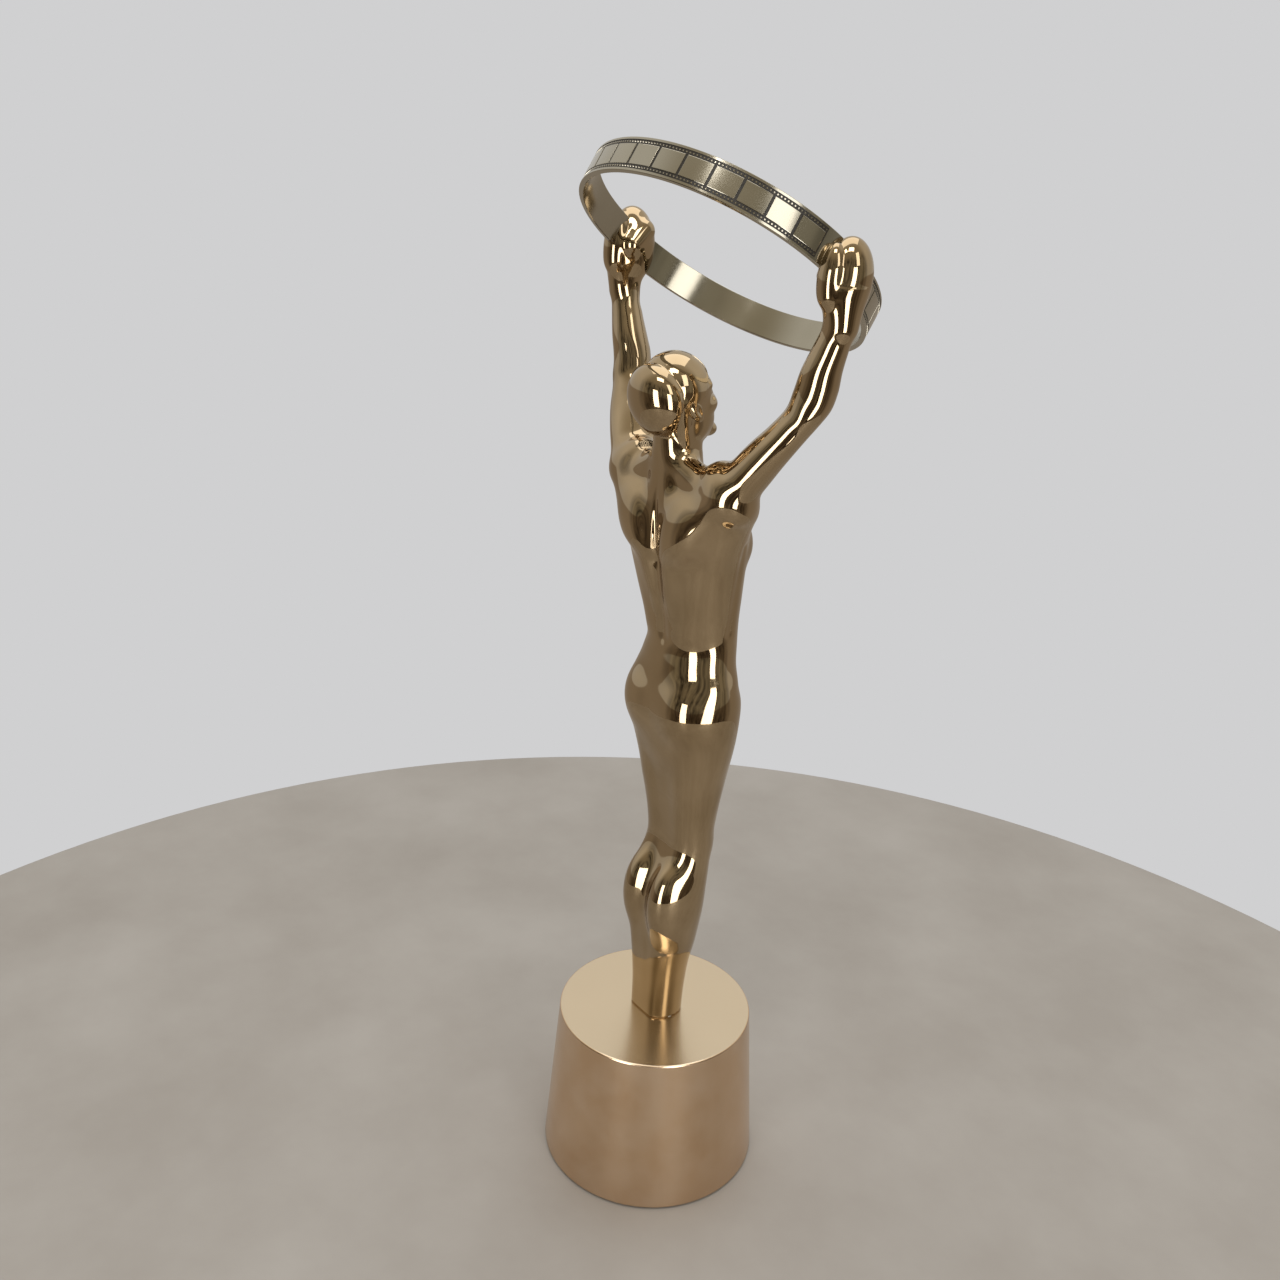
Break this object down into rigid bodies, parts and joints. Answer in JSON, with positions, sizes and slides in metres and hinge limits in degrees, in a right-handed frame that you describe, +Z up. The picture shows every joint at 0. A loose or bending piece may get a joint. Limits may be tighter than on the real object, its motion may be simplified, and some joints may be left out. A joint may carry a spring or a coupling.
{
  "type": "figure trophy",
  "caption": "Polished cast figure on a weighted turned drum, raising a tilted ring of film strip in both hands.",
  "frame": {"origin": "centre of the flat felt face that the trophy stands on", "axes": "+Z up; the figure faces -Y, its right hand is at -X and its left hand at +X"},
  "size_m": [0.1324, 0.1076, 0.4041],
  "materials": {
    "polished_brass": "mirror polished",
    "drum_brass": "turned, fine satin side and polished top",
    "ring_brass": "rolled and polished",
    "black_enamel": "matt black fill",
    "plated_steel": "zinc plated",
    "cast_iron": "as cast",
    "felt": "pressed wool felt"
  },
  "bodies": {
    "root": {"base_drum": "drum_brass", "ballast_slug": "cast_iron", "base_plate": "plated_steel", "plate_screws": "plated_steel", "felt_pad": "felt", "foot_insert": "plated_steel", "tie_rod": "plated_steel", "flat_washer": "plated_steel", "spring_washer": "plated_steel", "hex_nut": "plated_steel", "locating_pins": "plated_steel", "figure_body": "polished_brass", "left_arm": "polished_brass", "right_arm": "polished_brass", "shoulder_dowels": "plated_steel", "ring_band_back": "ring_brass", "ring_band_front": "ring_brass", "enamel_back": "black_enamel", "enamel_front": "black_enamel", "grip_pins": "plated_steel"}
  },
  "joints": []
}
